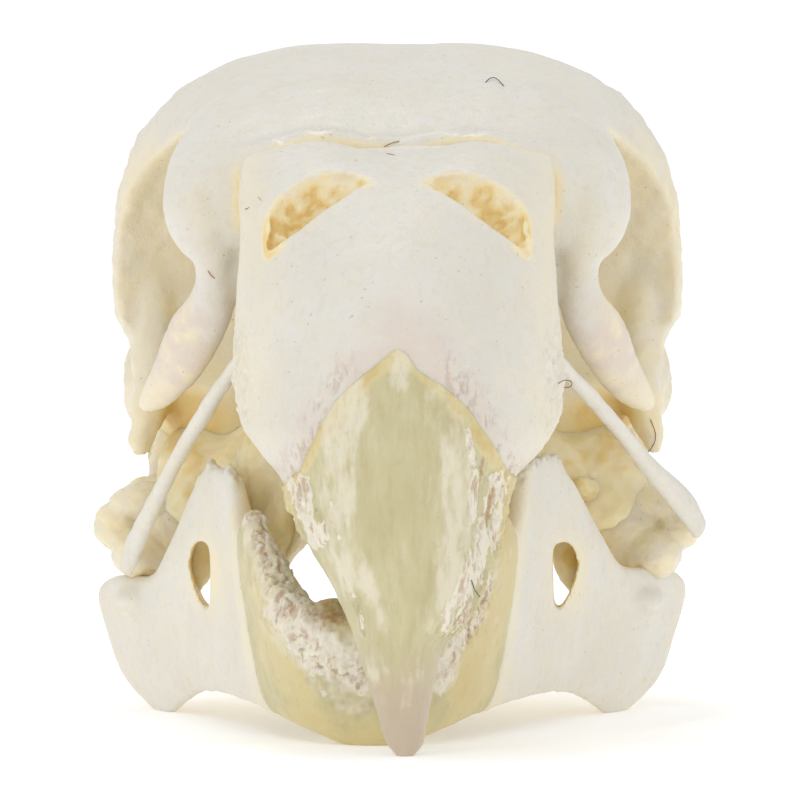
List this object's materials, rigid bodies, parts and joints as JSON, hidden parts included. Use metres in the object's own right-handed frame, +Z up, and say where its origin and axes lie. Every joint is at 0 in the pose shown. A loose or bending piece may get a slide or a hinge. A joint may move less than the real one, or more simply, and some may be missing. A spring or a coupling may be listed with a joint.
{
  "type": "lovebird skull",
  "caption": "Life-size skull of a small parrot with hooked bill, large round eye sockets, slim cheek rods and the lower jaw closed.",
  "frame": {"origin": "centre of the footprint, on the level that the lower jaw and bill tip rest on", "axes": "-Y out of the bill, +X to the right of someone who looks at the bill, +Z up"},
  "size_m": [0.0209, 0.033, 0.0228],
  "materials": {
    "bleached_bone": "bleached bone, satin",
    "horn": "dry horn, satin"
  },
  "bodies": {
    "root": {"cranium": "bleached_bone", "upper_bill": "bleached_bone", "upper_sheath": "horn", "mandible": "bleached_bone", "lower_sheath": "horn", "jugal_left": "bleached_bone", "jugal_right": "bleached_bone", "quadrate_left": "bleached_bone", "quadrate_right": "bleached_bone", "palatine_left": "bleached_bone", "palatine_right": "bleached_bone", "pterygoid_left": "bleached_bone", "pterygoid_right": "bleached_bone"}
  },
  "joints": []
}
